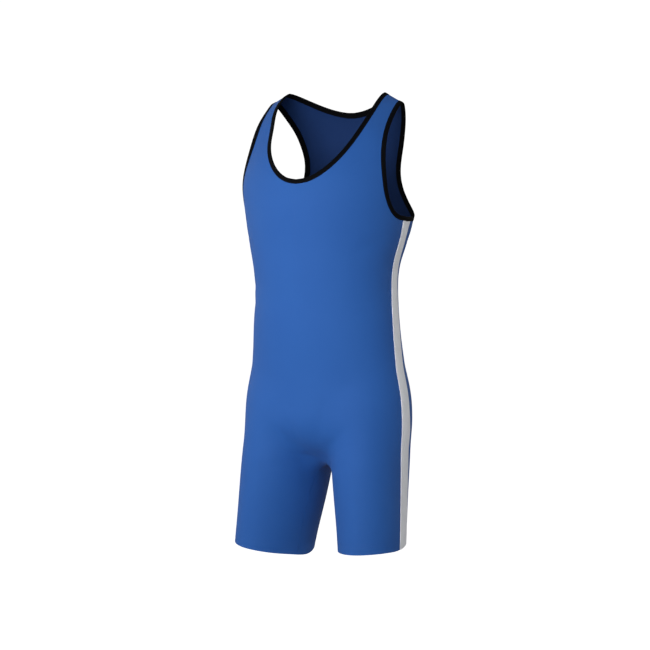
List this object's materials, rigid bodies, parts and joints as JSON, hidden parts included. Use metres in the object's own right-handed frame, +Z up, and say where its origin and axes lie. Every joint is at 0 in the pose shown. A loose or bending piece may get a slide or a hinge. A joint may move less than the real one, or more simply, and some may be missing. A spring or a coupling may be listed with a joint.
{
  "type": "weightlifting singlet",
  "caption": "Sleeveless one-piece weightlifting singlet with scooped neck, cut-away armholes and short legs, in the filled-out form it takes when worn.",
  "frame": {"origin": "midway between the two shoulder straps, on the line where the wearer's shoulders carry them", "axes": "+Z up along the standing wearer, the front faces -Y, the garment's left side is +X"},
  "size_m": [0.3466, 0.2573, 0.8903],
  "materials": {
    "blue_jersey": "fine warp-knit stretch jersey in royal blue with a soft sheen",
    "black_binding": "folded elastic binding in matt black",
    "white_tape": "flat knitted tape in white"
  },
  "bodies": {
    "root": {"front_panel": "blue_jersey", "back_panel": "blue_jersey", "neck_binding": "black_binding", "armhole_binding_left": "black_binding", "armhole_binding_right": "black_binding", "side_band_left": "white_tape", "side_band_right": "white_tape"}
  },
  "joints": []
}
